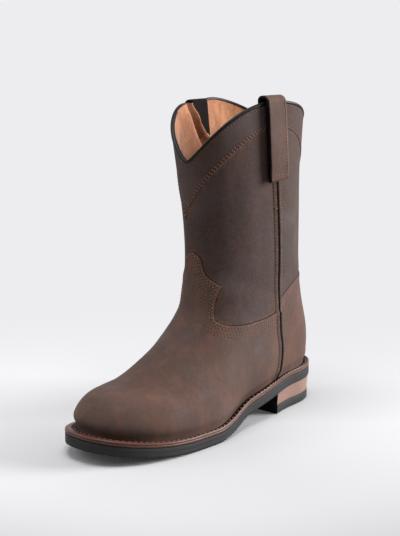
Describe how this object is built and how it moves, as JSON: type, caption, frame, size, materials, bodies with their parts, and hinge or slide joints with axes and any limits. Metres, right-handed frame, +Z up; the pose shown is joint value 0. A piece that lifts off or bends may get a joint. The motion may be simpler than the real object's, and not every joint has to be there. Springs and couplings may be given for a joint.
{
  "type": "roper boot",
  "caption": "Pull-on leather work boot for the left foot, with a low stacked heel, a welted rubber sole, a scalloped collar and pull straps.",
  "frame": {"origin": "On the floor, under the middle of the boot's outline", "axes": "+Z up from the floor, -Y toward the toe, +X toward the outer side of the foot"},
  "size_m": [0.1086, 0.2986, 0.307],
  "materials": {
    "outsole_rubber": "matte charcoal rubber",
    "stacked_leather": "rose-brown stacked leather with fine layer lines, satin",
    "heel_rubber": "matte charcoal rubber",
    "welt_leather": "reddish-brown, waxed, satin",
    "insole_leather": "matte tan",
    "oiled_leather": "oiled dark brown, dull sheen, mottled",
    "binding_leather": "near-black, satin",
    "piping_leather": "black, satin",
    "strap_leather": "oiled dark brown, dull sheen"
  },
  "bodies": {
    "root": {"outsole": "outsole_rubber", "heel_block": "stacked_leather", "heel_cap": "heel_rubber", "welt": "welt_leather", "insole": "insole_leather", "upper": "oiled_leather", "collar_binding": "binding_leather", "side_piping_lateral": "piping_leather", "side_piping_medial": "piping_leather", "pull_strap_lateral": "strap_leather", "pull_strap_medial": "strap_leather"}
  },
  "joints": []
}
